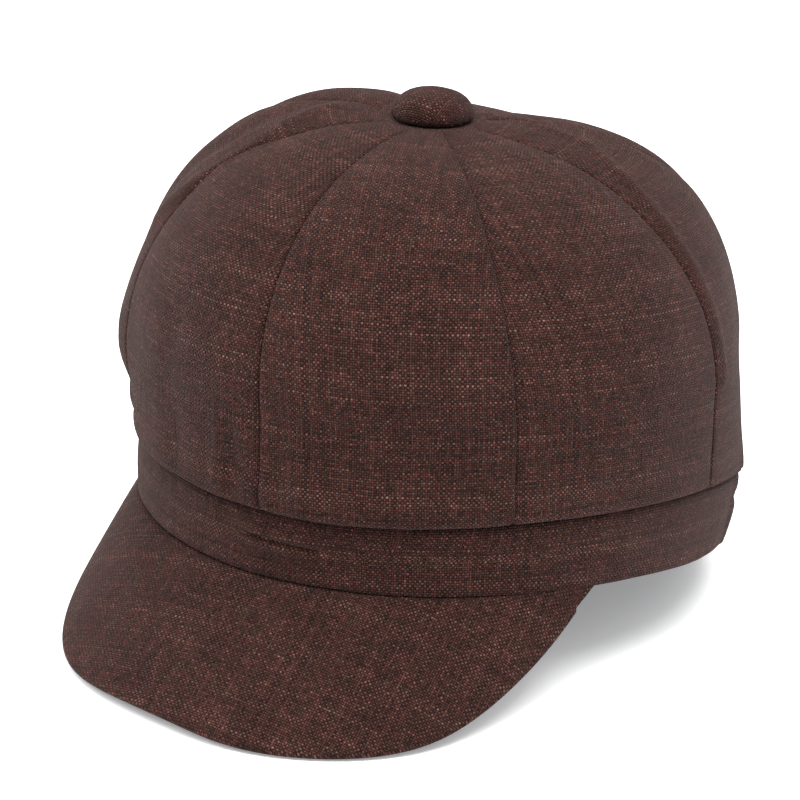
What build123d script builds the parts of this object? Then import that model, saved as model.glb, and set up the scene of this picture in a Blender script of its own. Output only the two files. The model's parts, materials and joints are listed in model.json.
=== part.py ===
from build123d import *
import os
from math import cos, hypot, radians, sin

# Eight-panel newsboy cap, in millimetres, as it rests on a table: the visor's two side
# corners and the back of the head band touch z = 0.  The wearer's front is -Y, the
# wearer's left is +X, and the origin is under the middle of the cap's bounding box.

# Head band: an oval tube of cloth whose edges rise towards the wearer's ears
BAND_HALF_WIDTH = 88.0       # outside, at the lower edge
BAND_HALF_LENGTH = 98.0
BAND_HEIGHT = 18.0           # at the front and at the back
BAND_LOWER_RISE = 8.2        # the lower edge stands this much higher at the ears
BAND_UPPER_RISE = 12.0
BAND_SPREAD = 1.2            # the band is this much wider at its upper edge
BAND_CLOTH = 1.1
INTERLINING = 0.8
SWEATBAND = 1.0
SWEATBAND_HEIGHT = 22.0
LAYER_GAP = 0.1
ELASTIC_HALF_ANGLE = 60.0    # half the stretch of the back that the elastic gathers

# How the band lies on the table: its front is lifted by the visor
REST_TILT = 9.75
BAND_CENTRE_Y = 14.55
BAND_CENTRE_Z = 16.7

# Crown: eight gores that rise nearly straight from the band and close over the head
CROWN_OVERHANG = 1.0         # past the band's upper edge
CROWN_HALF_WIDTH = 92.0
CROWN_HALF_LENGTH = 99.5
CROWN_CENTRE_Y = 2.5         # measured from the band's centre, as are the next four
WIDEST_HEIGHT = 64.0
CROWN_HEIGHT = 131.0
APEX_Y = -9.0
CROWN_SIDE_POWER = 2.7
CROWN_TOP_POWER = 2.0
CROWN_CLOTH = 1.0
LINING_GAP = 0.5
LINING_CLOTH = 0.4
PANEL_COUNT = 8
SEAM_GAP = 0.2
CROWN_SEAM_GAP = 0.1         # between the crown's lower edge and the band
APEX_HOLE_RADIUS = 2.8

# Visor: a stiff board between two cloth covers, ruled straight forwards and down
VISOR_SLOPE = 45.4           # degrees below the band's plane
VISOR_HALF_WIDTH = 79.0
VISOR_DEPTH = 104.5
VISOR_START = 24.3           # how far in front of the band's centre its outline begins
VISOR_POWER = 2.6            # 2 is an ellipse, more is squarer
VISOR_HALF_ANGLE = 72.0      # how far round the band its section is drawn
VISOR_COVER = 0.6
VISOR_BOARD = 1.4
VISOR_HEM = 1.2              # cloth folded round the board's edge
VISOR_CLEARANCE = 0.9        # between the visor and the band

# Button: a cloth-covered dome on a wire shank, sewn through the crown's tip
BUTTON_RADIUS = 12.0
BUTTON_RISE = 6.0
BUTTON_RIM = 2.4
BUTTON_CLOTH = 0.7
BUTTON_SHELL = 0.8
BUTTON_BACK = 1.0
BUTTON_LIFT = 0.35           # under side above the crown's tip
SHANK_LOOP_RADIUS = 1.9
SHANK_WIRE = 0.45
THREAD_RADIUS = 0.5
THREAD_HALF_SPAN = 1.5
KNOT_RADIUS = 3.8            # the thread's finishing stitches, under the lining
KNOT_TOP = -3.3              # below the crown's tip
KNOT_THICKNESS = 1.2

# Size label: a blank woven tab on the inside of the sweatband's back
LABEL_WIDTH = 22.0
LABEL_HEIGHT = 12.0
LABEL_CLOTH = 0.3

REACH = 160.0                # longer than any piece, for cutting tools
TILT = radians(REST_TILT)
SLOPE = radians(VISOR_SLOPE)
BAND_CENTRE = Vector(0, BAND_CENTRE_Y, BAND_CENTRE_Z)
BAND_UP = Vector(0, sin(TILT), cos(TILT))
BAND_BACK = Vector(0, cos(TILT), -sin(TILT))

band_plane = Plane(origin=BAND_CENTRE, x_dir=(1, 0, 0), z_dir=BAND_UP)
front_plane = Plane(origin=BAND_CENTRE, x_dir=(1, 0, 0), z_dir=-BAND_BACK)
visor_run = -BAND_BACK * cos(SLOPE) - BAND_UP * sin(SLOPE)
visor_plane = Plane(origin=BAND_CENTRE, x_dir=(1, 0, 0), z_dir=visor_run)
button_base = BAND_CENTRE + Vector(0, APEX_Y, CROWN_HEIGHT)

os.makedirs("parts", exist_ok=True)


def write(piece, name):
    piece.part.label = name
    export_step(piece.part, f"parts/{name}.step")


def oval_column(inset, mode=Mode.ADD):
    """Everything inside the band's oval, drawn in by inset, from well below to well above it."""
    ovals = []
    for level in (-2 * BAND_HEIGHT, 3 * BAND_HEIGHT):
        spread = BAND_SPREAD * level / BAND_HEIGHT - inset
        with BuildSketch(band_plane.offset(level)) as oval:
            Ellipse(BAND_HALF_WIDTH + spread, BAND_HALF_LENGTH + spread)
        ovals.append(oval.sketch)
    loft(ovals, mode=mode)


def edge_arc(front_height, side_rise):
    """The side view of an edge that is low at the front and back and high at the ears."""
    ends = BAND_HALF_WIDTH + 4 * BAND_SPREAD
    end_height = front_height + side_rise * (ends / BAND_HALF_WIDTH) ** 2
    return ThreePointArc((-ends, end_height), (0, front_height), (ends, end_height))


def keep_between(low, low_rise, high, high_rise):
    with BuildSketch(front_plane) as side_view:
        with BuildLine():
            lower = edge_arc(low, low_rise)
            upper = edge_arc(high, high_rise)
            Line(lower @ 0, upper @ 0)
            Line(lower @ 1, upper @ 1)
        make_face()
    extrude(side_view.sketch, amount=REACH, both=True, mode=Mode.INTERSECT)


def sector(plane, middle, half_angle, ratio, mode):
    """A wedge about the plane's origin, its angles measured round an oval from the front."""
    corners = [(0, 0)]
    for step in (-1, -0.5, 0, 0.5, 1):
        turn = radians(middle + step * half_angle)
        corners.append((REACH * ratio * sin(turn), -REACH * cos(turn)))
    with BuildSketch(plane) as wedge:
        with BuildLine():
            Polyline(*corners, close=True)
        make_face()
    extrude(wedge.sketch, amount=2 * REACH, both=True, mode=mode)


# ---------------------------------------------------------------- head band
OVAL_RATIO = BAND_HALF_WIDTH / BAND_HALF_LENGTH
INTERLINING_INSET = BAND_CLOTH + LAYER_GAP
SWEATBAND_INSET = INTERLINING_INSET + INTERLINING + LAYER_GAP
LABEL_INSET = SWEATBAND_INSET + SWEATBAND + LAYER_GAP
HEM_INSET = 1.5              # the inner layers stop this far short of the band's edges

with BuildPart() as band_outer:
    oval_column(0)
    oval_column(BAND_CLOTH, Mode.SUBTRACT)
    keep_between(0, BAND_LOWER_RISE, BAND_HEIGHT, BAND_UPPER_RISE)
write(band_outer, "band_outer")

with BuildPart() as band_interlining:
    oval_column(INTERLINING_INSET)
    oval_column(INTERLINING_INSET + INTERLINING, Mode.SUBTRACT)
    keep_between(HEM_INSET, BAND_LOWER_RISE, BAND_HEIGHT - HEM_INSET, BAND_UPPER_RISE)
    sector(band_plane, 180, ELASTIC_HALF_ANGLE + 1, OVAL_RATIO, Mode.SUBTRACT)
write(band_interlining, "band_interlining")

with BuildPart() as back_elastic:
    oval_column(INTERLINING_INSET)
    oval_column(INTERLINING_INSET + INTERLINING, Mode.SUBTRACT)
    keep_between(HEM_INSET, BAND_LOWER_RISE, BAND_HEIGHT - HEM_INSET, BAND_UPPER_RISE)
    sector(band_plane, 180, ELASTIC_HALF_ANGLE, OVAL_RATIO, Mode.INTERSECT)
write(back_elastic, "back_elastic")

with BuildPart() as sweatband:
    oval_column(SWEATBAND_INSET)
    oval_column(SWEATBAND_INSET + SWEATBAND, Mode.SUBTRACT)
    keep_between(HEM_INSET, BAND_LOWER_RISE, SWEATBAND_HEIGHT, BAND_LOWER_RISE)
write(sweatband, "sweatband")

with BuildPart() as size_label:
    oval_column(LABEL_INSET)
    oval_column(LABEL_INSET + LABEL_CLOTH, Mode.SUBTRACT)
    with BuildSketch(front_plane):
        with Locations((0, SWEATBAND_HEIGHT / 2)):
            Rectangle(LABEL_WIDTH, LABEL_HEIGHT)
    extrude(amount=-REACH, mode=Mode.INTERSECT)
write(size_label, "size_label")


# ---------------------------------------------------------------- crown
def crown_form(inset, mode=Mode.ADD):
    """The crown as a solid dome, drawn in by inset: ovals that start in the band's tilted
    plane, turn level by the widest one and then close in towards the tip."""
    rim_level = BAND_HEIGHT / 2
    rim_width = BAND_HALF_WIDTH + BAND_SPREAD + CROWN_OVERHANG
    rim_length = BAND_HALF_LENGTH + BAND_SPREAD + CROWN_OVERHANG
    ovals = []
    for share in (0, 0.3, 0.6):
        blend = sin(radians(90 * share ** 0.8))
        height = rim_level + (WIDEST_HEIGHT - rim_level) * share
        turn = TILT * (1 - share)
        centre = BAND_CENTRE + Vector(0, CROWN_CENTRE_Y * share + height * sin(turn), height)
        half_width = rim_width + (CROWN_HALF_WIDTH - rim_width) * blend
        half_length = rim_length + (CROWN_HALF_LENGTH - rim_length) * blend
        level = Plane(origin=centre, x_dir=(1, 0, 0), z_dir=(0, sin(turn), cos(turn)))
        with BuildSketch(level) as oval:
            Ellipse(half_width - inset, half_length - inset)
        ovals.append(oval.sketch)
    for climb in (0, 14, 28, 42, 55, 67, 77, 84):
        width = cos(radians(climb)) ** (2 / CROWN_SIDE_POWER)
        rise = sin(radians(climb)) ** (2 / CROWN_TOP_POWER)
        top = CROWN_HEIGHT - inset
        height = WIDEST_HEIGHT + (top - WIDEST_HEIGHT) * rise
        centre_y = CROWN_CENTRE_Y + (APEX_Y - CROWN_CENTRE_Y) * rise
        with BuildSketch(Plane(origin=BAND_CENTRE + Vector(0, centre_y, height))) as oval:
            Ellipse((CROWN_HALF_WIDTH - inset) * width, (CROWN_HALF_LENGTH - inset) * width)
        ovals.append(oval.sketch)
    loft(ovals, mode=mode)


def crown_shell(outside, inside):
    crown_form(outside)
    crown_form(inside, Mode.SUBTRACT)
    with BuildSketch(Plane(origin=button_base)) as hole:
        Circle(APEX_HOLE_RADIUS)
    extrude(hole.sketch, amount=REACH / 4, both=True, mode=Mode.SUBTRACT)
    keep_between(BAND_HEIGHT + CROWN_SEAM_GAP, BAND_UPPER_RISE, REACH, BAND_UPPER_RISE)


with BuildPart() as crown_cloth:
    crown_shell(0, CROWN_CLOTH)

with BuildPart() as crown_lining:
    crown_shell(CROWN_CLOTH + LINING_GAP, CROWN_CLOTH + LINING_GAP + LINING_CLOTH)

PANEL_ANGLE = 360 / PANEL_COUNT
panel_names = ["front", "side_front", "side_back", "back"]
for index, place in enumerate(panel_names):
    for side, sign in (("left", 1), ("right", -1)):
        middle = sign * (index + 0.5) * PANEL_ANGLE
        outward = Vector(OVAL_RATIO * sin(radians(middle)), -cos(radians(middle)))
        corner = Plane(origin=button_base + outward * SEAM_GAP)
        for layer, shell in (("crown_panel", crown_cloth), ("lining_panel", crown_lining)):
            with BuildPart() as gore:
                add(shell.part)
                sector(corner, middle, PANEL_ANGLE / 2, OVAL_RATIO, Mode.INTERSECT)
            write(gore, f"{layer}_{place}_{side}")


# ---------------------------------------------------------------- visor
def visor_strip(upper_depth, lower_depth):
    """The visor before it is cut out: an arched section, square to the way the visor runs.
    The arch is the band's lower front edge seen along that run, and it is the visor's top;
    the strip lies between two depths below it."""
    edges = {-upper_depth: [], -lower_depth: []}
    for step in range(-8, 9):
        turn = radians(VISOR_HALF_ANGLE * step / 8)
        across = BAND_HALF_WIDTH * sin(turn)
        up = BAND_HALF_LENGTH * sin(SLOPE) * cos(turn) + BAND_LOWER_RISE * cos(SLOPE) * sin(turn) ** 2
        d_across = BAND_HALF_WIDTH * cos(turn)
        d_up = sin(turn) * (2 * BAND_LOWER_RISE * cos(SLOPE) * cos(turn) - BAND_HALF_LENGTH * sin(SLOPE))
        size = hypot(d_across, d_up)
        for offset_by, points in edges.items():
            points.append((across - offset_by * d_up / size, up + offset_by * d_across / size))
    with BuildSketch(visor_plane) as arch:
        with BuildLine():
            upper = Spline(*edges[-upper_depth])
            lower = Spline(*edges[-lower_depth])
            Line(upper @ 0, lower @ 0)
            Line(upper @ 1, lower @ 1)
        make_face()
    extrude(arch.sketch, amount=REACH)


def cut_to_outline(inset):
    """The plan of the visor, square to the band: a squarish half oval, cut off inside the band."""
    points = []
    for step in range(-12, 13):
        turn = radians(90 * step / 12)
        across = abs(sin(turn)) ** (2 / VISOR_POWER) * (1 if turn >= 0 else -1)
        ahead = cos(turn) ** (2 / VISOR_POWER)
        points.append(((VISOR_HALF_WIDTH - inset) * across,
                       -VISOR_START - (VISOR_DEPTH - inset) * ahead))
    with BuildSketch(band_plane) as plan:
        with BuildLine():
            edge = Spline(*points)
            Line(edge @ 0, edge @ 1)
        make_face()
    extrude(plan.sketch, amount=REACH, both=True, mode=Mode.INTERSECT)


BOARD_BOTTOM = VISOR_COVER + VISOR_BOARD
VISOR_THICKNESS = BOARD_BOTTOM + VISOR_COVER

with BuildPart() as visor_board:
    visor_strip(VISOR_COVER, BOARD_BOTTOM)
    cut_to_outline(VISOR_HEM)
    oval_column(-VISOR_CLEARANCE, Mode.SUBTRACT)
write(visor_board, "visor_board")

with BuildPart() as board_room:
    visor_strip(VISOR_COVER, 2 * VISOR_THICKNESS)
    cut_to_outline(VISOR_HEM)

with BuildPart() as visor_top_cover:
    visor_strip(0, VISOR_THICKNESS)
    cut_to_outline(0)
    add(board_room.part, mode=Mode.SUBTRACT)
    oval_column(-VISOR_CLEARANCE, Mode.SUBTRACT)
write(visor_top_cover, "visor_top_cover")

with BuildPart() as visor_under_cover:
    visor_strip(BOARD_BOTTOM, VISOR_THICKNESS)
    cut_to_outline(VISOR_HEM + LAYER_GAP)
    oval_column(-VISOR_CLEARANCE, Mode.SUBTRACT)
write(visor_under_cover, "visor_under_cover")


# ---------------------------------------------------------------- button
def dome(radius, rise, rim, base, mode=Mode.ADD):
    """A round cap with a short upright rim and a domed top, standing on the height base."""
    with BuildSketch(Plane(origin=button_base, x_dir=(1, 0, 0), z_dir=(0, -1, 0))) as half:
        with BuildLine():
            crest = base + rim + rise
            Line((0, base), (radius, base))
            Line((radius, base), (radius, base + rim))
            TangentArc((0, crest), (radius, base + rim), tangent=(1, 0))
            Line((0, crest), (0, base))
        make_face()
    revolve(half.sketch, axis=Axis(button_base, (0, 0, 1)), mode=mode)


with BuildPart() as button_cover:
    dome(BUTTON_RADIUS, BUTTON_RISE, BUTTON_RIM, BUTTON_LIFT)
    dome(BUTTON_RADIUS - BUTTON_CLOTH, BUTTON_RISE - BUTTON_CLOTH, BUTTON_RIM, BUTTON_LIFT, Mode.SUBTRACT)
write(button_cover, "button_cover")

SHELL_RADIUS = BUTTON_RADIUS - BUTTON_CLOTH
SHELL_RISE = BUTTON_RISE - BUTTON_CLOTH
with BuildPart() as button_shell:
    dome(SHELL_RADIUS, SHELL_RISE, BUTTON_RIM, BUTTON_LIFT)
    dome(SHELL_RADIUS - BUTTON_SHELL, SHELL_RISE - BUTTON_SHELL, BUTTON_RIM, BUTTON_LIFT, Mode.SUBTRACT)
write(button_shell, "button_shell")

with BuildPart() as button_back:
    with BuildSketch(Plane(origin=button_base + Vector(0, 0, BUTTON_LIFT))):
        Circle(SHELL_RADIUS - BUTTON_SHELL)
    extrude(amount=BUTTON_BACK)
write(button_back, "button_back")

# The shank's wire loop hangs in the XZ plane; the thread passes through it along Y
loop_centre = button_base + Vector(0, 0, BUTTON_LIFT - SHANK_LOOP_RADIUS / 2)
with BuildPart() as button_shank:
    with BuildSketch(Plane(origin=loop_centre)):
        with Locations((SHANK_LOOP_RADIUS, 0)):
            Circle(SHANK_WIRE)
    revolve(axis=Axis(loop_centre, (0, 1, 0)))
    with BuildSketch(Plane(origin=button_base + Vector(0, 0, BUTTON_LIFT))):
        Circle(BUTTON_RADIUS)
    extrude(amount=REACH, mode=Mode.SUBTRACT)
write(button_shank, "button_shank")

thread_turn = loop_centre.Z - button_base.Z - THREAD_RADIUS - THREAD_HALF_SPAN
thread_foot = KNOT_TOP - KNOT_THICKNESS / 2
with BuildPart() as button_thread:
    with BuildLine(Plane(origin=button_base, x_dir=(0, 1, 0), z_dir=(1, 0, 0))) as stitch:
        Line((-THREAD_HALF_SPAN, thread_foot), (-THREAD_HALF_SPAN, thread_turn))
        RadiusArc((-THREAD_HALF_SPAN, thread_turn), (THREAD_HALF_SPAN, thread_turn), THREAD_HALF_SPAN)
        Line((THREAD_HALF_SPAN, thread_turn), (THREAD_HALF_SPAN, thread_foot))
    with BuildSketch(Plane(origin=stitch.line @ 0, z_dir=stitch.line % 0)):
        Circle(THREAD_RADIUS)
    sweep()
    with BuildSketch(Plane(origin=button_base + Vector(0, 0, KNOT_TOP))):
        Circle(KNOT_RADIUS)
    extrude(amount=-KNOT_THICKNESS)
write(button_thread, "button_thread")
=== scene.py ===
import json
from math import cos, pi, radians, sin, tan

import bpy
import numpy as np
from mathutils import Matrix, Vector, noise


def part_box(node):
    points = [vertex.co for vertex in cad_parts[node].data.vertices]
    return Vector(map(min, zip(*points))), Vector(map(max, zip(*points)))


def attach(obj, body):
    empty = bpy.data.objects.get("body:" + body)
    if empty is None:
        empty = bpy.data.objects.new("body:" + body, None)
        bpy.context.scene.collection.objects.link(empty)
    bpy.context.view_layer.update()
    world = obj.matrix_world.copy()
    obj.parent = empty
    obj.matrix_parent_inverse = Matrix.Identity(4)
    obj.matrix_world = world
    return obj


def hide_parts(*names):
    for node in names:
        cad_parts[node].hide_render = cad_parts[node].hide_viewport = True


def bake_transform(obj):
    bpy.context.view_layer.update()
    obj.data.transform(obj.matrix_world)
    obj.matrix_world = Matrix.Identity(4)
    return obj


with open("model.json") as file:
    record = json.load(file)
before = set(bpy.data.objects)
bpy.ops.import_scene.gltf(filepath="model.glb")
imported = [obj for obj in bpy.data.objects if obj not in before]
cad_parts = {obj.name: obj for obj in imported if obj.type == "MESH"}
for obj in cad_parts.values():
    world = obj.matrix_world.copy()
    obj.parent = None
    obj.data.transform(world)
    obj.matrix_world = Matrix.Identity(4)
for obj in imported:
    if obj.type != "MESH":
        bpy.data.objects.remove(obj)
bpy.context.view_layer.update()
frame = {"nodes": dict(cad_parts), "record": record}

# Newsboy cap, in metres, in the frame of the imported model: the wearer's front is -Y, the
# wearer's left is +X, and the cap rests on z = 0.  Angles round the head are measured from
# the front towards the wearer's left.
MM = 0.001
DEG = pi / 180

# ---------------------------------------------------------------- sizes
# The band: an oval cone about the head's axis, higher at the sides than front and back
head_opening = frame["record"]["mounts"][0]
MOUNT_LEVEL = 1.5 * MM
BAND_HEIGHT = 18 * MM
LOWER_RISE = 8.2 * MM
UPPER_RISE = 12 * MM
SPREAD = 1.2 / 18
ELASTIC_START = 103 * DEG

UP = -np.array(head_opening["axis"], float)
BACK = np.array([0, UP[2], -UP[1]])
ACROSS = np.array([1.0, 0, 0])
CENTRE = np.array(head_opening["pos_m"], float) - UP * MOUNT_LEVEL

band_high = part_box("band_outer")[1]
HALF_WIDTH = band_high.x - SPREAD * (BAND_HEIGHT + UPPER_RISE)
HALF_LENGTH = (band_high.y - CENTRE[1] - BAND_HEIGHT * UP[1]) / UP[2] - SPREAD * BAND_HEIGHT

# The crown: an oval that swells out over the band, stands up and closes under the button
crown_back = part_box("crown_panel_back_left")[1].y
front_low, front_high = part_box("crown_panel_front_left")
CROWN_HALF_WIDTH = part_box("crown_panel_side_back_left")[1].x
CROWN_HALF_LENGTH = (crown_back - front_low.y) / 2
CROWN_CENTRE_Y = (crown_back + front_low.y) / 2
CROWN_TOP = front_high.z
WIDEST_Z = CENTRE[2] + 64 * MM
thread_low, thread_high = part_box("button_thread")
APEX_Y = (thread_low.y + thread_high.y) / 2
SIDE_POWER = 2.7
TOP_POWER = 2.0
OVERHANG = 1.0 * MM
PANEL_HALF = 22.5 * DEG
TIP_SHARE = 0.985

# The visor, in the band's plane: a superellipse that slopes down from the band
SLOPE = radians(45.4)
VISOR_HALF_WIDTH = 79 * MM
VISOR_DEPTH = 104.5 * MM
VISOR_START = 24.3 * MM
VISOR_POWER = 2.6
VISOR_THICKNESS = 2.6 * MM
SEAM_REACH = 80.2 * MM
SEAM_TUCK = 0.988
BOARD_THICKNESS = 1.15 * MM
FLOOR_GAP = 0.1 * MM

button_low, button_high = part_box("button_cover")
BUTTON_RADIUS = (button_high.x - button_low.x) / 2

# The layers' thicknesses, and how far inside the band's face each layer's own face is
CLOTH = 1.0 * MM
BAND_CLOTH = 1.1 * MM
VISOR_CLOTH = 0.6 * MM
UNDER_CLOTH = 0.5 * MM
LINING = 0.4 * MM
LINING_GAP = 0.9 * MM
LAYER = 0.7 * MM
LAYER_INSET = 1.25 * MM
SWEATBAND = 1.0 * MM
SWEATBAND_INSET = 2.1 * MM
SWEATBAND_HEIGHT = 22 * MM
LABEL = 0.3 * MM
LABEL_INSET = 3.25 * MM
LABEL_WIDTH = 22 * MM
LABEL_HEIGHT = 11.5 * MM
WEAVE_PITCH = 0.70 * MM


# ---------------------------------------------------------------- small helpers
def smooth(t):
    t = np.clip(t, 0, 1)
    return t * t * (3 - 2 * t)


def bell(distance, width):
    return np.exp(-(distance / width) ** 2)


def ripple(points, scale, seed):
    """Smooth noise from -1 to 1 at each point, with features about scale metres across."""
    flat = points.reshape(-1, 3) / scale + seed
    values = np.array([noise.noise(Vector(p)) for p in flat])
    return values.reshape(points.shape[:-1])


def unit(vectors):
    return vectors / np.maximum(np.linalg.norm(vectors, axis=-1, keepdims=True), 1e-12)


def grid_normals(grid, closed=False):
    """Outward normals of a grid whose rows climb and whose columns go round to the left."""
    if closed:
        round_it = np.roll(grid, -1, 1) - np.roll(grid, 1, 1)
    else:
        round_it = np.gradient(grid, axis=1)
    return unit(np.cross(round_it, np.gradient(grid, axis=0)))


def grid_uv(grid):
    """The cloth's own flat coordinates in metres: along each row from the middle column,
    and up the middle column."""
    middle = grid.shape[1] // 2
    steps = np.linalg.norm(np.diff(grid, axis=1), axis=2)
    along = np.concatenate([np.zeros((len(grid), 1)), np.cumsum(steps, axis=1)], axis=1)
    along -= along[:, middle:middle + 1]
    rises = np.linalg.norm(np.diff(grid[:, middle], axis=0), axis=1)
    climb = np.concatenate([[0], np.cumsum(rises)])
    return np.stack([along, np.repeat(climb[:, None], grid.shape[1], 1)], axis=-1)


def add_mesh(name, points, faces, uv, material):
    """A smooth-shaded object; uv has one row per point."""
    mesh = bpy.data.meshes.new(name)
    mesh.from_pydata([tuple(p) for p in points], [], faces)
    layer = mesh.uv_layers.new(name="cloth")
    corner_points = np.zeros(len(mesh.loops), np.int32)
    mesh.loops.foreach_get("vertex_index", corner_points)
    layer.data.foreach_set("uv", uv[corner_points].astype(np.float32).ravel())
    mesh.polygons.foreach_set("use_smooth", [True] * len(mesh.polygons))
    mesh.set_sharp_from_angle(angle=60 * DEG)
    mesh.materials.append(material)
    thing = bpy.data.objects.new(name, mesh)
    bpy.context.scene.collection.objects.link(thing)
    return thing


def shell(name, grid, thickness, material, closed=False, uv=None):
    """A sheet of cloth as a closed mesh: the grid, a second grid under it, and its edges.
    A closed grid's last column joins its first."""
    rows, columns = grid.shape[:2]
    under = grid - grid_normals(grid, closed) * thickness
    uv = grid_uv(grid) if uv is None else uv
    points = np.concatenate([grid.reshape(-1, 3), under.reshape(-1, 3)])
    uvs = np.concatenate([uv.reshape(-1, 2)] * 2)
    half = rows * columns
    faces = []
    last = columns if closed else columns - 1
    for i in range(rows - 1):
        for j in range(last):
            a, b = i * columns + j, i * columns + (j + 1) % columns
            c, d = b + columns, a + columns
            faces.append((a, b, c, d))
            faces.append((half + d, half + c, half + b, half + a))
    for j in range(last):
        a, b = j, (j + 1) % columns
        faces.append((half + a, half + b, b, a))
        a, b = a + (rows - 1) * columns, b + (rows - 1) * columns
        faces.append((a, b, half + b, half + a))
    if not closed:
        for i in range(rows - 1):
            a, d = i * columns, (i + 1) * columns
            faces.append((a, d, half + d, half + a))
            a, d = a + columns - 1, d + columns - 1
            faces.append((d, a, half + a, half + d))
    return add_mesh(name, points, faces, uvs, material)


# ---------------------------------------------------------------- materials
class Nodes:
    """A material's node tree, with one-line ways to add to it."""

    def __init__(self, name):
        self.material = bpy.data.materials.new(name)
        self.material.use_nodes = True
        self.tree = self.material.node_tree
        self.shader = self.tree.nodes["Principled BSDF"]

    def put(self, kind, **values):
        node = self.tree.nodes.new(kind)
        for key, value in values.items():
            setattr(node, key, value)
        return node

    def feed(self, socket, value):
        if isinstance(value, bpy.types.NodeSocket):
            self.tree.links.new(value, socket)
        else:
            socket.default_value = value

    def math(self, operation, first, second=0.0, third=0.0):
        node = self.put("ShaderNodeMath", operation=operation)
        for socket, value in zip(node.inputs, (first, second, third)):
            self.feed(socket, value)
        return node.outputs[0]

    def noise(self, vector, scale, detail=2.0, rough=0.5):
        node = self.put("ShaderNodeTexNoise", noise_dimensions="3D")
        self.feed(node.inputs["Vector"], vector)
        node.inputs["Scale"].default_value = scale
        node.inputs["Detail"].default_value = detail
        node.inputs["Roughness"].default_value = rough
        return node.outputs[0]

    def join(self, x, y, z=0.0):
        node = self.put("ShaderNodeCombineXYZ")
        for socket, value in zip(node.inputs, (x, y, z)):
            self.feed(socket, value)
        return node.outputs[0]

    def mix(self, factor, first, second, blend_type="MIX"):
        node = self.put("ShaderNodeMix", data_type="RGBA", blend_type=blend_type)
        self.feed(node.inputs["Factor"], factor)
        self.feed(node.inputs[6], first)
        self.feed(node.inputs[7], second)
        return node.outputs[2]

    def ramp(self, factor, stops):
        node = self.put("ShaderNodeValToRGB")
        self.feed(node.inputs[0], factor)
        elements = node.color_ramp.elements
        while len(elements) < len(stops):
            elements.new(0.5)
        for element, (place, colour) in zip(elements, stops):
            element.position = place
            element.color = (*colour, 1)
        return node.outputs[0]

    def bump(self, height, distance, strength=1.0, below=None):
        node = self.put("ShaderNodeBump")
        node.inputs["Strength"].default_value = strength
        node.inputs["Distance"].default_value = distance
        self.feed(node.inputs["Height"], height)
        if below is not None:
            self.feed(node.inputs["Normal"], below)
        return node.outputs[0]

    def flat_coordinates(self):
        """The cloth's own coordinates in metres, across and along."""
        node = self.put("ShaderNodeUVMap", uv_map="cloth")
        parts = self.put("ShaderNodeSeparateXYZ")
        self.feed(parts.inputs[0], node.outputs[0])
        return parts.outputs[0], parts.outputs[1]


def plain_weave(nodes, pitch, slub):
    """Threads one over, one under.  Returns the tone of the thread on top (0 to 1), the
    height of its surface (0 to 1) and the flat coordinates as a vector."""
    across, along = nodes.flat_coordinates()
    place = nodes.join(across, along)
    stray = nodes.math("SUBTRACT", nodes.noise(place, 220), 0.5)
    stray_2 = nodes.math("SUBTRACT", nodes.noise(nodes.join(along, across, 7), 220), 0.5)
    u = nodes.math("MULTIPLY_ADD", across, 1 / pitch, nodes.math("MULTIPLY", stray, 0.9))
    v = nodes.math("MULTIPLY_ADD", along, 1 / pitch, nodes.math("MULTIPLY", stray_2, 0.9))
    column, row = nodes.math("FLOOR", u), nodes.math("FLOOR", v)
    over = nodes.math("MODULO", nodes.math("ABSOLUTE", nodes.math("ADD", column, row)), 2)
    du = nodes.math("ABSOLUTE", nodes.math("SUBTRACT", nodes.math("FRACT", u), 0.5))
    dv = nodes.math("ABSOLUTE", nodes.math("SUBTRACT", nodes.math("FRACT", v), 0.5))

    def tone(thread, length, seed):
        """Each thread has its own tone, and slubs and dyed tufts run along it."""
        yarn = nodes.noise(nodes.join(nodes.math("MULTIPLY", thread, 3.7), seed, 0), 1.0, 0)
        streak = nodes.noise(nodes.join(nodes.math("MULTIPLY", thread, 5.3),
                                        nodes.math("MULTIPLY", length, slub), seed), 1.0, 3, 0.7)
        return nodes.math("MULTIPLY_ADD", yarn, 0.3, nodes.math("MULTIPLY", streak, 0.7))

    warp = nodes.math("SUBTRACT", tone(column, v, 1.3), 0.045)
    weft = nodes.math("ADD", tone(row, u, 9.1), 0.085)
    shade = nodes.math("ADD", nodes.math("MULTIPLY", warp, over),
                       nodes.math("MULTIPLY", weft, nodes.math("SUBTRACT", 1, over)))
    wide = nodes.math("ADD", nodes.math("MULTIPLY", du, over),
                      nodes.math("MULTIPLY", dv, nodes.math("SUBTRACT", 1, over)))
    ends = nodes.math("ADD", nodes.math("MULTIPLY", dv, over),
                      nodes.math("MULTIPLY", du, nodes.math("SUBTRACT", 1, over)))
    # a yarn is round, and dives under at its ends
    fall_wide = nodes.math("MULTIPLY", nodes.math("POWER", wide, 2), 3.2)
    fall_ends = nodes.math("MULTIPLY", nodes.math("POWER", ends, 2), 2.0)
    height = nodes.math("SUBTRACT", 1, nodes.math("ADD", fall_wide, fall_ends))
    return shade, height, place


YARN_TONES = [(0.34, (0.0100, 0.0039, 0.0034)), (0.48, (0.0315, 0.0124, 0.0102)),
              (0.60, (0.064, 0.0262, 0.0216)), (0.72, (0.130, 0.064, 0.054)),
              (0.88, (0.28, 0.168, 0.142))]
YARN_TINTS = [(0.32, (0.80, 0.92, 0.76)), (0.5, (0.96, 0.87, 0.80)), (0.68, (1.08, 0.84, 0.85))]


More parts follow.
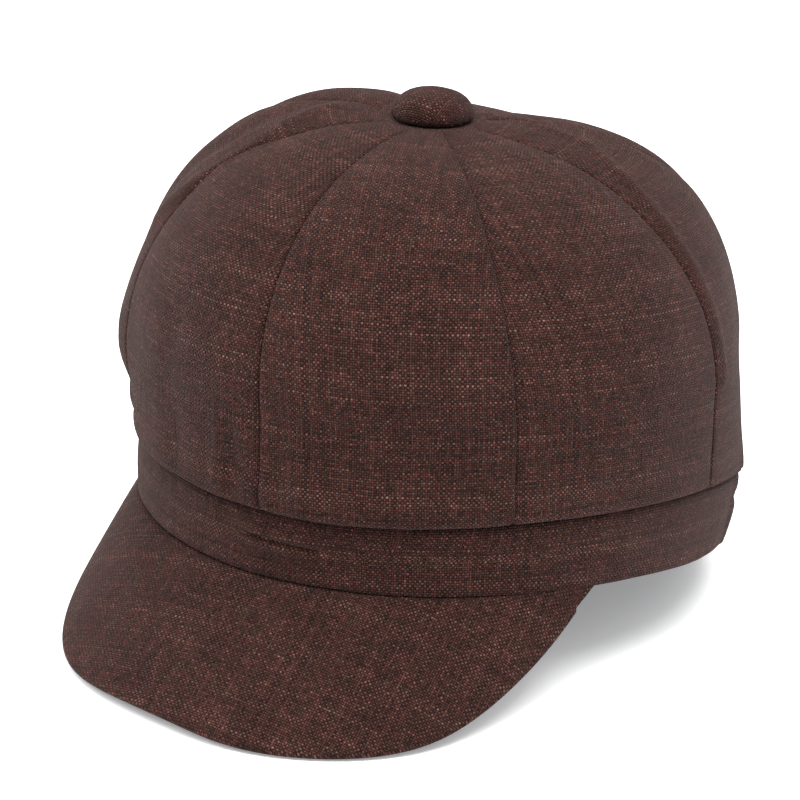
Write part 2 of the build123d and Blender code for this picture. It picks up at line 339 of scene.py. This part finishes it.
def heathered_cloth():
    """The cap's cloth: plain-woven dark brown yarn flecked with rust and rose, with painted shade in
    the gaps between the threads.
    """
    nodes = Nodes("heathered_cloth")
    shade, height, place = plain_weave(nodes, WEAVE_PITCH, 0.3)
    clouds = nodes.noise(place, 60, 4, 0.7)
    shade = nodes.math("MULTIPLY_ADD", nodes.math("SUBTRACT", clouds, 0.5), 0.22, shade)
    colour = nodes.ramp(shade, YARN_TONES)
    tint = nodes.ramp(nodes.noise(place, 240, 3, 0.7), YARN_TINTS)
    colour = nodes.mix(1.0, colour, tint, "MULTIPLY")
    # painted shade: the colour darkens where each yarn's surface dips down between the threads
    dark = nodes.math("MULTIPLY_ADD", height, 1.0, 0.12)
    colour = nodes.mix(1.0, colour, nodes.join(dark, dark, dark), "MULTIPLY")
    nodes.feed(nodes.shader.inputs["Base Color"], colour)
    fuzz = nodes.noise(place, 2600, 2, 0.7)
    normal = nodes.bump(fuzz, 0.08 * MM, 0.5)
    normal = nodes.bump(height, 0.26 * MM, 0.95, normal)
    nodes.feed(nodes.shader.inputs["Normal"], normal)
    nodes.feed(nodes.shader.inputs["Roughness"], nodes.math("MULTIPLY_ADD", fuzz, 0.12, 0.82))
    nodes.shader.inputs["Specular IOR Level"].default_value = 0.12
    nodes.shader.inputs["Sheen Weight"].default_value = 0.09
    nodes.shader.inputs["Sheen Roughness"].default_value = 0.22
    nodes.shader.inputs["Sheen Tint"].default_value = (0.85, 0.70, 0.68, 1)
    return nodes.material


def satin():
    """The lining: fine dark twill with a soft sheen."""
    nodes = Nodes("lining_satin")
    across, along = nodes.flat_coordinates()
    place = nodes.join(across, along)
    diagonal = nodes.math("ADD", across, along)
    line = nodes.math("SINE", nodes.math("MULTIPLY", diagonal, 2 * pi / (0.5 * MM)))
    tone = nodes.noise(place, 60, 3)
    nodes.feed(nodes.shader.inputs["Base Color"],
               nodes.ramp(tone, [(0.3, (0.021, 0.0125, 0.0115)), (0.7, (0.034, 0.021, 0.019))]))
    nodes.feed(nodes.shader.inputs["Normal"], nodes.bump(line, 0.03 * MM, 0.5))
    nodes.feed(nodes.shader.inputs["Roughness"], nodes.math("MULTIPLY_ADD", tone, 0.2, 0.3))
    nodes.shader.inputs["Sheen Weight"].default_value = 0.2
    return nodes.material


def grosgrain(name, low, high, rib):
    """Tape with ribs across it: the sweatband, and the elastic with wider ribs."""
    nodes = Nodes(name)
    across, along = nodes.flat_coordinates()
    place = nodes.join(across, along)
    ribs = nodes.math("SINE", nodes.math("MULTIPLY", across, 2 * pi / rib))
    threads = nodes.math("SINE", nodes.math("MULTIPLY", along, 2 * pi / (0.35 * MM)))
    tone = nodes.math("MULTIPLY_ADD", ribs, 0.15, nodes.noise(place, 700, 2))
    nodes.feed(nodes.shader.inputs["Base Color"], nodes.ramp(tone, [(0.3, low), (0.75, high)]))
    normal = nodes.bump(threads, 0.04 * MM, 0.4)
    nodes.feed(nodes.shader.inputs["Normal"], nodes.bump(ribs, 0.15 * MM, 0.9, normal))
    nodes.feed(nodes.shader.inputs["Roughness"], nodes.math("MULTIPLY_ADD", tone, 0.15, 0.65))
    nodes.shader.inputs["Sheen Weight"].default_value = 0.3
    return nodes.material


def spun(name, low, high, scale, rough, bump):
    """A mottled matt surface: felted interlining, thread or moulded board."""
    nodes = Nodes(name)
    coordinates = nodes.put("ShaderNodeTexCoord").outputs["Object"]
    tone = nodes.noise(coordinates, scale, 4, 0.7)
    nodes.feed(nodes.shader.inputs["Base Color"], nodes.ramp(tone, [(0.3, low), (0.7, high)]))
    nodes.feed(nodes.shader.inputs["Normal"], nodes.bump(tone, bump, 0.7))
    nodes.feed(nodes.shader.inputs["Roughness"], nodes.math("MULTIPLY_ADD", tone, 0.2, rough))
    return nodes.material


def pressed_metal():
    """Tinned sheet and wire of the button's hidden parts."""
    nodes = Nodes("button_metal")
    coordinates = nodes.put("ShaderNodeTexCoord").outputs["Object"]
    tone = nodes.noise(coordinates, 900, 3)
    nodes.feed(nodes.shader.inputs["Base Color"],
               nodes.ramp(tone, [(0.3, (0.42, 0.41, 0.39)), (0.7, (0.62, 0.61, 0.58))]))
    nodes.feed(nodes.shader.inputs["Roughness"], nodes.math("MULTIPLY_ADD", tone, 0.25, 0.22))
    nodes.feed(nodes.shader.inputs["Normal"], nodes.bump(tone, 0.01 * MM, 0.4))
    nodes.shader.inputs["Metallic"].default_value = 1.0
    return nodes.material


CLOTH_LOOK = heathered_cloth()
LINING_LOOK = satin()
SWEATBAND_LOOK = grosgrain("sweatband_grosgrain", (0.020, 0.012, 0.011), (0.050, 0.030, 0.027),
                           1.1 * MM)
ELASTIC_LOOK = grosgrain("back_elastic", (0.03, 0.027, 0.026), (0.07, 0.064, 0.062), 1.6 * MM)
INTERLINING_LOOK = spun("interlining_felt", (0.55, 0.53, 0.48), (0.74, 0.72, 0.67),
                        1500, 0.8, 0.1 * MM)
LABEL_LOOK = spun("label_tape", (0.50, 0.46, 0.40), (0.66, 0.62, 0.55), 2500, 0.7, 0.05 * MM)
THREAD_LOOK = spun("button_thread", (0.02, 0.012, 0.010), (0.07, 0.04, 0.034),
                   3000, 0.7, 0.1 * MM)
BOARD_LOOK = spun("visor_board", (0.50, 0.50, 0.48), (0.58, 0.58, 0.56), 400, 0.45, 0.03 * MM)
METAL_LOOK = pressed_metal()


# ---------------------------------------------------------------- head band
def band_point(turn, level, outset=0.0):
    """A point on the band's oval, at a level above its lowest plane.  At the back the
    elastic draws every layer in along a line."""
    share = (level - lower_level(turn)) / (upper_level(turn) - lower_level(turn))
    at_back = smooth((angle_from_front(turn) - ELASTIC_START) / (14 * DEG))
    outset = outset - 0.9 * MM * (at_back * bell(share - 0.67, 0.1))
    wide = HALF_WIDTH + SPREAD * level + outset
    long = HALF_LENGTH + SPREAD * level + outset
    return (CENTRE + (wide * np.sin(turn))[..., None] * ACROSS
            - (long * np.cos(turn))[..., None] * BACK + level[..., None] * UP)


def lower_level(turn):
    return LOWER_RISE * np.sin(turn) ** 2


def upper_level(turn):
    return BAND_HEIGHT + UPPER_RISE * np.sin(turn) ** 2


def angle_from_front(turn):
    """How far round from the front, either way, from 0 to pi."""
    return np.abs((turn + pi) % (2 * pi) - pi)


def gathers(turn):
    """How far the ruching at the back stands out, from -0.2 to 1.9."""
    away = angle_from_front(turn)
    inside = smooth((away - ELASTIC_START) / (16 * DEG))
    phase = 64 * turn + 2.1 * np.sin(5.3 * turn + 0.8) + 1.3 * np.sin(11.7 * turn)
    return inside * (0.85 + 0.8 * np.sin(phase) + 0.25 * np.sin(2.3 * phase + 1.1))


def quarter_round(t):
    """From 1 at an edge to 0 where its rounding ends, at t = 1."""
    return 1 - np.sqrt(1 - (1 - np.clip(t, 0, 1)) ** 2)


def band_ring(columns, rows, low, high, outset, roll_low, roll_high, puff=0.0):
    """A ring of cloth round the head: low and high give its edges' levels at each angle, the
    rolls are how far each edge turns in, and puff is how far its middle stands out.  Gives
    the angles, the share of the way up each row, and the grid."""
    turn = np.linspace(-pi, pi, columns, endpoint=False)[None, :]
    share = (1 - np.cos(pi * np.arange(rows) / (rows - 1)))[:, None] / 2
    bottom, top = low(turn), high(turn)
    level = bottom + (top - bottom) * share
    from_low, from_high = level - bottom, top - level
    push = -roll_low * quarter_round(from_low / max(roll_low, MM))
    push -= roll_high * quarter_round(from_high / max(2 * roll_high, MM))
    push += puff * np.sin(pi * share) + 0 * turn
    grid = band_point(turn + 0 * share, level, push + outset)
    return turn, share, grid


def above_floor(grid):
    """Soft edges that the cap rests on are pressed flat against the floor."""
    grid[..., 2] = np.maximum(grid[..., 2], FLOOR_GAP)
    return grid


def front_fold(turn, share):
    """The slack fold across the front of the band: a ridge that falls steeply to a narrow
    valley, and a swell below it."""
    along = (turn / DEG - 4) / 10
    there = smooth((1 - np.abs(along)) / 0.5)
    above = share - 0.66 + 0.03 * along
    ridge = 1.8 * MM * bell(above, np.where(above > 0, 0.09, 0.045))
    swell = 1.2 * MM * bell(above + 0.18, 0.07)
    valley = 0.6 * MM * bell(above + 0.085, 0.035)
    return (ridge + swell - valley) * there


def make_band():
    """The band's outer cloth: a little uneven, gathered at the back, folded at the front."""
    turn, share, grid = band_ring(900, 64, lower_level, lambda a: upper_level(a) + 1.0 * MM, 0.0,
                                  1.1 * MM, 1.2 * MM, 0.35 * MM)
    outward = grid_normals(grid, True)
    push = 0.30 * MM * ripple(grid, 30 * MM, 3.0) + 0.12 * MM * ripple(grid, 9 * MM, 11.0)
    push += gathers(turn) * 1.0 * MM * (0.55 + 0.45 * np.sin(pi * share))
    push += front_fold(turn, share)
    return above_floor(grid + outward * push[..., None])


# ---------------------------------------------------------------- crown
PROFILE_CLIMB = np.concatenate([np.linspace(0, 1, 50, endpoint=False), 1 + np.linspace(0, 1, 160)])


def crown_profile(turn):
    """The bare crown's meridians, from the band's seam to the tip: row by row, column by
    column.  They swell out to the widest oval, stand up and close over the head."""
    turn = np.asarray(turn)[None, :]
    rim = band_point(turn, upper_level(turn), OVERHANG)
    climb = PROFILE_CLIMB[:, None]
    wall = np.minimum(climb, 1)
    swell = np.sin(pi / 2 * wall ** 0.7)
    lift = np.clip(climb - 1, 0, 1) * pi / 2
    narrow = np.cos(lift) ** (2 / SIDE_POWER)
    rise = np.sin(lift) ** (2 / TOP_POWER)
    wide_x = CROWN_HALF_WIDTH * np.sin(turn)
    wide_y = -CROWN_HALF_LENGTH * np.cos(turn)
    centre_y = CROWN_CENTRE_Y + (APEX_Y - CROWN_CENTRE_Y) * rise
    x = rim[..., 0] * (1 - swell) + wide_x * swell * narrow
    y = rim[..., 1] * (1 - swell) + (centre_y + wide_y * narrow) * swell
    z = rim[..., 2] + (WIDEST_Z - rim[..., 2]) * wall + (CROWN_TOP - WIDEST_Z) * rise
    return np.stack([x, y, z + 0 * x], axis=-1)


def crown_base(turn, share):
    """Points of the bare crown at equal shares of each meridian's length, and that length."""
    turn = np.atleast_1d(turn)
    profile = crown_profile(turn)
    steps = np.linalg.norm(np.diff(profile, axis=0), axis=2)
    along = np.concatenate([np.zeros((1, len(turn))), np.cumsum(steps, axis=0)])
    points = np.zeros((len(share), len(turn), 3))
    for j in range(len(turn)):
        for k in range(3):
            points[:, j, k] = np.interp(share * along[-1, j], along[:, j], profile[:, j, k])
    return points, along[-1]


STROKES = []
SLUMPS = []


def slump(turn, share, spread, height):
    """Where the soft crown leans out (or, below zero, sinks in) as it lies."""
    place = crown_base(np.array([turn * DEG]), np.array([share]))[0][0, 0]
    SLUMPS.append((place, spread * MM, height * MM))


def stroke(path, width, height):
    """A soft ridge (or, below zero, a valley) of that width and height along a path of
    (degrees round from the front, share of the way up)."""
    corners = np.array([crown_base(np.array([a * DEG]), np.array([s]))[0][0, 0]
                        for a, s in path])
    STROKES.append((corners, width * MM, height * MM))


def stroke_push(points):
    push = np.zeros(points.shape[:-1])
    for corners, width, height in STROKES:
        nearest = np.full(push.shape, 1e9)
        for a, b in zip(corners[:-1], corners[1:]):
            line = b - a
            t = np.clip(((points - a) @ line) / (line @ line), 0, 1)
            away = np.linalg.norm(points - a - t[..., None] * line, axis=-1)
            nearest = np.minimum(nearest, away)
        push += height * bell(nearest, width)
    return push


def crown_push(turn, share, points, length):
    """How far the sewn, worn cloth stands out from the bare crown."""
    part = (turn / (2 * PANEL_HALF)) % 1
    from_middle = np.abs(part - 0.5) * 2
    above_seam = share[:, None] * length[None, :]
    radius = np.hypot(points[..., 0], points[..., 1] - APEX_Y)
    from_seam = (1 - from_middle)[None, :] * PANEL_HALF * radius
    tip = smooth((radius - 8 * MM) / (16 * MM))
    # each gore is plump between its seams, and the seams lie in a groove and a soft hollow
    plump = 0.35 + 0.75 * bell(share - 0.66, 0.24)
    push = plump[:, None] * MM * (1 - from_middle[None, :] ** 2.2) * tip
    groove = (1.0 - 0.4 * smooth((share[:, None] - 0.5) / 0.25)) * MM
    push -= groove * np.exp(-from_seam / (0.45 * MM)) * tip
    push -= 0.45 * MM * bell(from_seam, 4.5 * MM) * tip * smooth((share[:, None] - 0.25) / 0.3)
    # broad and finer unevenness
    push += 0.6 * MM * ripple(points, 48 * MM, 5.0) * tip
    push += 0.25 * MM * ripple(points, 16 * MM, 21.0) * tip
    # the lower edge tucks in over the band, rolls out at the front and is gathered behind
    push -= 2.2 * MM * (1 - smooth(above_seam / (3.0 * MM)))
    front = smooth((75 * DEG - np.abs(turn + 10 * DEG)) / (30 * DEG))[None, :]
    push += front * 1.7 * MM * bell(above_seam - 6 * MM, 6 * MM)
    push += 0.7 * MM * gathers(turn)[None, :] * bell(above_seam, 11 * MM)
    for place, spread, height in SLUMPS:
        push += height * bell(np.linalg.norm(points - place, axis=-1), spread)
    push += stroke_push(points)
    return push * smooth((radius - 7 * MM) / (15 * MM))


def crown_grid(turn, share, inset, slack):
    """The sewn crown at those angles and shares; slack is the part of the push that is
    followed, and inset is how far inside the result lies."""
    points, length = crown_base(turn, share)
    small = 0.2 * DEG
    ahead, _ = crown_base(turn + small, share)
    behind, _ = crown_base(turn - small, share)
    nudge = 0.002
    higher, _ = crown_base(turn, np.clip(share + nudge, 0, 1))
    lower, _ = crown_base(turn, np.clip(share - nudge, 0, 1))
    outward = unit(np.cross(ahead - behind, higher - lower))
    push = crown_push(turn, share, points, length) * slack - inset
    return points + outward * push[..., None]


# How the cap lies.  Degrees are towards the wearer's left, sizes in millimetres.
slump(115, 0.27, 30, -5.0)
slump(-95, 0.68, 38, 4.4)
slump(-175, 0.76, 28, -3.4)
slump(-51, 0.17, 13, 3.2)
slump(-49, 0.05, 9, -2.4)
slump(-60, 0.38, 17, -1.8)
slump(137, 0.58, 20, 1.0)
# the slack folds on the wearer's right
stroke([(-68, 0.81), (-58, 0.76), (-47, 0.67), (-45, 0.59), (-48, 0.51), (-51, 0.43)], 3.2, 1.2)
stroke([(-80, 0.77), (-67, 0.69), (-60, 0.60), (-62, 0.50)], 5, -1.3)
# the pulled ridges behind the wearer's left side seam
stroke([(148, 0.90), (113, 0.79), (108, 0.73), (100, 0.67), (95.5, 0.59), (93.5, 0.51), (92.8, 0.43),
        (92.5, 0.32), (93, 0.22)], 2.5, 0.95)
stroke([(141, 0.86), (125, 0.72), (121, 0.62)], 3.5, 0.7)
# a dent low in the right front gore, and the puckers at the foot of the front seam
stroke([(-22, 0.30), (-23, 0.18), (-20, 0.06)], 5, -0.8)
stroke([(-5.5, 0.14), (-5, 0.03)], 2.2, -0.7)
stroke([(-9.5, 0.17), (-9, 0.03)], 2.5, 0.5)
stroke([(4.5, 0.16), (4, 0.03)], 2.2, -0.6)
stroke([(8.5, 0.2), (8, 0.05)], 2.5, 0.5)

PANELS = [(place, side, sign * (index + 0.5) * 45 * DEG)
          for index, place in enumerate(["front", "side_front", "side_back", "back"])
          for side, sign in (("left", 1), ("right", -1))]


def make_panel(middle, columns, rows, inset, slack=1.0):
    """One gore's grid about its middle angle, with its columns closer by the seams."""
    near_seam = 1 - np.array([0, 0.006, 0.014, 0.026, 0.045, 0.075, 0.12])
    half = np.concatenate([np.linspace(0, 0.84, columns // 2 - 6), near_seam[::-1]])
    across = np.concatenate([-half[:0:-1], half])
    low = np.array([0, 0.004, 0.009, 0.015, 0.022])
    share = np.concatenate([low, np.linspace(0.03, TIP_SHARE, rows - len(low))])
    return crown_grid(middle + across * PANEL_HALF, share, inset, slack)


def follow_visor(piece):
    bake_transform(piece)


def declare_sheet(grid):
    uv = grid_uv(grid)


def build_crown():
    for place, side, middle in PANELS:
        grid = make_panel(middle, 49, 130, 0.0)
        panel = shell(f"crown_{place}_{side}", grid, CLOTH, CLOTH_LOOK)
        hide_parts(f"crown_panel_{place}_{side}")
        declare_sheet(grid)
        inner = make_panel(middle, 25, 60, CLOTH + LINING_GAP, 0.75)
        lining = shell(f"lining_{place}_{side}", inner, LINING, LINING_LOOK)
        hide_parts(f"lining_panel_{place}_{side}")
        declare_sheet(inner)
        for piece in (panel, lining):
            if place in ("front", "side_front"):
                follow_visor(piece)
            else:
                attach(piece, "cap")


def build_band():
    grid = make_band()
    band = shell("head_band", grid, BAND_CLOTH, CLOTH_LOOK, closed=True)
    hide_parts("band_outer")
    declare_sheet(grid)
    follow_visor(band)


def build_sweatband():
    hem = 0.9 * MM
    turn, share, grid = band_ring(480, 30, lambda a: lower_level(a) + hem,
                                  lambda a: lower_level(a) + SWEATBAND_HEIGHT,
                                  -SWEATBAND_INSET, 0.6 * MM, 0.0)
    # its lower edge turns out to the band, and hides the layers between them
    turned = 1 - smooth(share * (SWEATBAND_HEIGHT - hem) / (2.4 * MM))
    push = (0.95 * turned + 0.07 * gathers(turn) * (1 - turned)) * MM
    grid = grid + grid_normals(grid, True) * push[..., None]
    band = shell("sweatband_tape", grid, SWEATBAND, SWEATBAND_LOOK, closed=True)
    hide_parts("sweatband")
    declare_sheet(grid)
    follow_visor(band)


def arc_strip(name, start, stop, columns, material, node):
    """Part of a layer inside the band, between two angles."""
    turn = np.linspace(start, stop, columns)[None, :]
    share = np.linspace(0, 1, 12)[:, None]
    bottom, top = lower_level(turn) + 3.0 * MM, upper_level(turn) - 1.5 * MM
    grid = band_point(turn + 0 * share, bottom + (top - bottom) * share, -LAYER_INSET)
    strip = shell(name, grid, LAYER, material)
    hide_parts(node)
    declare_sheet(grid)
    return strip


def build_band_layers():
    edge = 119 * DEG
    stiffener = arc_strip("band_stiffener", -edge, edge, 240, INTERLINING_LOOK,
                          "band_interlining")
    follow_visor(stiffener)
    elastic = arc_strip("elastic_tape", 120.5 * DEG, 239.5 * DEG, 160, ELASTIC_LOOK,
                        "back_elastic")
    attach(elastic, "cap")


# ---------------------------------------------------------------- visor
def visor_height(x, y):
    """The height over the band's plane of the visor's top at a place in that plane."""
    inside = np.sqrt(np.clip(1 - (x / HALF_WIDTH) ** 2, 0, 1))
    return LOWER_RISE * (x / HALF_WIDTH) ** 2 - tan(SLOPE) * (-y - HALF_LENGTH * inside)


def visor_surface(plan):
    """Points of the visor's top over plan points in the band's plane, and normals."""
    x, y = plan[..., 0], plan[..., 1]
    step = 0.1 * MM

    def lifted(px, py):
        return (CENTRE + px[..., None] * ACROSS + py[..., None] * BACK
                + visor_height(px, py)[..., None] * UP)

    normal = unit(np.cross(lifted(x + step, y) - lifted(x - step, y),
                           lifted(x, y + step) - lifted(x, y - step)))
    return lifted(x, y), normal


def visor_outline(columns):
    """Plan points of the visor's edge, from the wearer's right to the left, and the way out
    from each.  The CAD's outline is that of the underside; the top's is further out, as the
    cut edge stands square to the sloping board."""
    end = np.arccos(0.245 ** (VISOR_POWER / 2))
    turn = np.linspace(-end, end, columns)
    across = np.abs(np.sin(turn)) ** (2 / VISOR_POWER) * np.sign(turn)
    ahead = np.cos(turn) ** (2 / VISOR_POWER)
    edge = np.stack([VISOR_HALF_WIDTH * across, -VISOR_START - VISOR_DEPTH * ahead], -1)
    normal = visor_surface(edge)[1]
    edge = edge + VISOR_THICKNESS * np.stack([normal @ ACROSS, normal @ BACK], -1)
    tangent = np.gradient(edge, axis=0)
    way_out = unit(np.stack([tangent[:, 1], -tangent[:, 0]], -1))
    x = edge[:, 0] / MM
    lean = 3.4 * bell(x - 12, 30) - 1.75 * bell(x - 79, 10.5) - 1.2 * bell(x + 72, 20)
    return edge + way_out * lean[:, None] * MM, way_out


def visor_layer(edge, way_out, inset, rows):
    """The visor's top surface from the seam to its edge, drawn in by inset, the share of the
    way across it, and its normals."""
    reach = np.arcsin(SEAM_REACH / HALF_WIDTH)
    turn = np.linspace(-reach, reach, len(edge))
    seam = SEAM_TUCK * np.stack([HALF_WIDTH * np.sin(turn), -HALF_LENGTH * np.cos(turn)], -1)
    share = (np.linspace(0, 1, rows) ** 1.25)[:, None]
    plan = seam[None] * (1 - share[..., None]) + (edge - way_out * inset)[None] * share[..., None]
    surface, normal = visor_surface(plan)
    return surface, share, normal


def pinched(surface, radius):
    """How much nearer the visor's two faces come to each other by its rear ends."""
    steps = np.linalg.norm(np.diff(surface, axis=1), axis=2)
    along = np.concatenate([np.zeros((len(surface), 1)), np.cumsum(steps, axis=1)], axis=1)
    from_end = np.minimum(along, along[:, -1:] - along)
    return radius * (1 - np.sqrt(1 - np.clip(1 - from_end / (1.8 * radius), 0, 1) ** 2))


def build_visor():
    edge, way_out = visor_outline(181)
    radius = VISOR_THICKNESS / 2
    top, share, normal = visor_layer(edge, way_out, radius, 48)
    fade = smooth(share / 0.1) * smooth((1 - share) / 0.08)
    push = 0.3 * MM * np.sin(pi * share) ** 0.7 + 0.3 * MM * ripple(top, 40 * MM, 31.0) * fade
    push -= 1.3 * MM * bell(share, 0.05) + pinched(top, radius)
    upper = top + normal * push[..., None]
    across = way_out[:, :1] * ACROSS + way_out[:, 1:] * BACK
    across = unit(across - (across * normal[-1]).sum(-1, keepdims=True) * normal[-1])
    middle = top[-1] - normal[-1] * radius
    rim_radius = (radius - pinched(top, radius)[-1])[:, None]
    rim = [middle + rim_radius * (across * cos(a) + normal[-1] * sin(a))
           for a in np.linspace(80, -96, 17) * DEG]
    grid = above_floor(np.concatenate([upper, np.array(rim)])[:, ::-1])
    cover = shell("visor_top", grid, VISOR_CLOTH, CLOTH_LOOK, uv=visor_uv(grid, 0.0))
    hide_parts("visor_top_cover")
    declare_sheet(grid)
    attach(cover, "visor")

    below, share, normal = visor_layer(edge, way_out, radius, 48)
    wavy = 0.12 * MM * ripple(below, 25 * MM, 47.0) * smooth((1 - share) / 0.08)
    sink = VISOR_THICKNESS + 0.1 * MM + wavy
    sink -= pinched(below, radius)
    grid = above_floor(below - normal * sink[..., None])
    under = shell("visor_under", grid, UNDER_CLOTH, CLOTH_LOOK, uv=visor_uv(grid, 0.4))
    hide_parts("visor_under_cover")
    declare_sheet(grid)
    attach(under, "visor")

    # the board stops short of the seam and of the visor's rear ends
    inner, share, normal = visor_layer(edge, way_out, radius + 0.7 * MM, 30)
    grid = (inner - normal * 0.75 * MM)[7:, 4:-4][:, ::-1]
    board = shell("visor_stiffener", grid, BOARD_THICKNESS, BOARD_LOOK)
    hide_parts("visor_board")
    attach(board, "visor")


def visor_uv(grid, shift):
    """Flat coordinates, with the grain along the way the visor runs; shift moves them to
    another part of the cloth."""
    run = -BACK * cos(SLOPE) - UP * sin(SLOPE)
    relative = grid - CENTRE
    along = relative @ run
    steps = np.linalg.norm(np.diff(grid, axis=1), axis=2)
    drift = np.abs(np.diff(along, axis=1))
    flat_steps = np.sqrt(np.maximum(steps ** 2 - drift ** 2, 0))
    across = np.concatenate([np.zeros((len(grid), 1)), np.cumsum(flat_steps, axis=1)], axis=1)
    across -= across[:, grid.shape[1] // 2][:, None]
    return np.stack([across + shift, along], axis=-1)


# ---------------------------------------------------------------- button and label
def build_button():
    """The covered button: cloth drawn over a shallow dome and gathered in under its rim."""
    around = np.linspace(0, 2 * pi, 97)[:-1][None, :]
    base, crest = button_low.z, button_high.z
    rim = base + 1.3 * MM
    crest += 0.2 * MM
    # the gathered hem: millimetres out from the rim's radius and up from its base
    inside = [(-3.4, -0.2), (-2.2, -0.3), (-1.2, -0.3), (-0.5, -0.05), (-0.1, 0.6), (0, 1.2)]
    under = [(BUTTON_RADIUS + x * MM, base + z * MM) for x, z in inside]
    over = [(BUTTON_RADIUS * cos(a) ** 0.8, rim + (crest - rim) * sin(a))
            for a in np.linspace(0, 90, 26)[:-1] * DEG]
    profile = np.array(under + over + [(0.02 * MM, crest)])
    r, z = profile[:, :1], profile[:, 1:]
    pucker = 0.18 * MM * np.sin(22 * around) * bell(z - base, 2.2 * MM)
    r = np.maximum(r + pucker + 0.15 * MM * np.sin(3 * around + 1) * (r / BUTTON_RADIUS), 0)
    grid = np.stack([r * np.sin(around), APEX_Y - r * np.cos(around), z + 0 * around], -1)
    grid = grid + grid_normals(grid, True) * (0.12 * MM * ripple(grid, 5 * MM, 61.0))[..., None]
    grid[-1] = grid[-1].mean(0)
    steps = np.linalg.norm(np.diff(profile[::-1], axis=0), axis=1)
    radial = np.concatenate([[0], np.cumsum(steps)])[::-1, None]
    uv = np.stack([radial * np.sin(around), -radial * np.cos(around)], -1)
    cover = shell("button_cloth", grid, VISOR_CLOTH, CLOTH_LOOK, closed=True, uv=uv)
    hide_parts("button_cover")
    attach(cover, "button")


def build_label():
    half = LABEL_WIDTH / 2 / HALF_WIDTH
    turn = pi + np.linspace(-half, half, 25)[None, :]
    share = np.linspace(0, 1, 13)[:, None]
    level = 5.5 * MM + LABEL_HEIGHT * share + 0 * turn
    grid = band_point(turn + 0 * share, level, -LABEL_INSET)
    label = shell("size_tab", grid, LABEL, LABEL_LOOK)
    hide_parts("size_label")
    declare_sheet(grid)
    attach(label, "cap")


def dress_cad_nodes():
    """The button's hard pieces keep their CAD shapes, and get their own materials."""
    looks = {"button_shell": METAL_LOOK, "button_back": METAL_LOOK,
             "button_shank": METAL_LOOK, "button_thread": THREAD_LOOK}
    for name, look in looks.items():
        node = frame["nodes"][name]
        node.data.materials.clear()
        node.data.materials.append(look)


# ---------------------------------------------------------------- studio
def build_studio():
    """A white floor, a surround that brightens upwards, and three large soft lights."""
    scene = bpy.context.scene
    nodes = Nodes("floor")
    tint = nodes.noise(nodes.put("ShaderNodeTexCoord").outputs["Object"], 3.0)
    nodes.feed(nodes.shader.inputs["Base Color"],
               nodes.ramp(tint, [(0.3, (0.93, 0.93, 0.93)), (0.7, (0.95, 0.95, 0.95))]))
    nodes.shader.inputs["Roughness"].default_value = 0.9
    nodes.shader.inputs["Specular IOR Level"].default_value = 0.0
    nodes.shader.inputs["Emission Color"].default_value = (0.97, 0.98, 1.0, 1)
    nodes.shader.inputs["Emission Strength"].default_value = 0.25
    mesh = bpy.data.meshes.new("floor")
    size = 40.0
    mesh.from_pydata([(-size, -size, 0), (size, -size, 0), (size, size, 0), (-size, size, 0)],
                     [], [(0, 1, 2, 3)])
    mesh.materials.append(nodes.material)
    floor = bpy.data.objects.new("floor", mesh)
    scene.collection.objects.link(floor)

    world = bpy.data.worlds.new("studio")
    world.use_nodes = True
    tree = world.node_tree
    split = tree.nodes.new("ShaderNodeSeparateXYZ")
    sky = tree.nodes.new("ShaderNodeValToRGB")
    tree.links.new(tree.nodes.new("ShaderNodeTexCoord").outputs["Generated"], split.inputs[0])
    tree.links.new(split.outputs[2], sky.inputs[0])
    tree.links.new(sky.outputs[0], tree.nodes["Background"].inputs["Color"])
    sky.color_ramp.elements[0].position = 0.0
    sky.color_ramp.elements[0].color = (0.03, 0.031, 0.033, 1)
    sky.color_ramp.elements[1].position = 0.88
    sky.color_ramp.elements[1].color = (1.0, 1.0, 1.0, 1)
    tree.nodes["Background"].inputs["Strength"].default_value = 1.55
    scene.world = world

    def area_light(name, place, aim, size, power):
        data = bpy.data.lights.new(name, "AREA")
        data.shape = "DISK"
        data.size = size
        data.energy = power
        lamp = bpy.data.objects.new(name, data)
        lamp.location = place
        direction = Vector(aim) - Vector(place)
        lamp.rotation_euler = direction.to_track_quat("-Z", "Y").to_euler()
        scene.collection.objects.link(lamp)

    area_light("overhead", (0.32, -0.2, 1.25), (0, 0, 0.05), 1.0, 18)
    area_light("front_fill", (-0.1, -0.95, 1.25), (0, 0, 0.05), 0.9, 10)
    area_light("left_rim", (-1.1, 0.0, 0.75), (0, -0.04, 0.05), 0.7, 2.5)


def build_camera():
    azimuth, elevation, roll = radians(30.44), radians(19.9), radians(2.07)
    distance = 823.5 * MM
    aim = CENTRE + np.array([-5.8, -11.9, 42.8]) * MM
    back = np.array([sin(azimuth) * cos(elevation), -cos(azimuth) * cos(elevation), sin(elevation)])
    right = unit(np.cross([0, 0, 1.0], back))
    up = np.cross(back, right)
    right, up = right * cos(roll) + up * sin(roll), up * cos(roll) - right * sin(roll)
    place = aim + back * distance
    data = bpy.data.cameras.new("camera")
    data.lens = 121.9
    data.sensor_width = 36
    data.clip_start = 0.01
    camera = bpy.data.objects.new("camera", data)
    axes = np.column_stack([right, up, back, place])
    camera.matrix_world = Matrix([*axes.tolist(), [0, 0, 0, 1]])
    bpy.context.scene.collection.objects.link(camera)
    bpy.context.scene.camera = camera
    bpy.context.scene.view_settings.view_transform = "Standard"


build_camera()
build_studio()
build_crown()
build_band()
build_sweatband()
build_band_layers()
build_visor()
build_button()
build_label()
dress_cad_nodes()
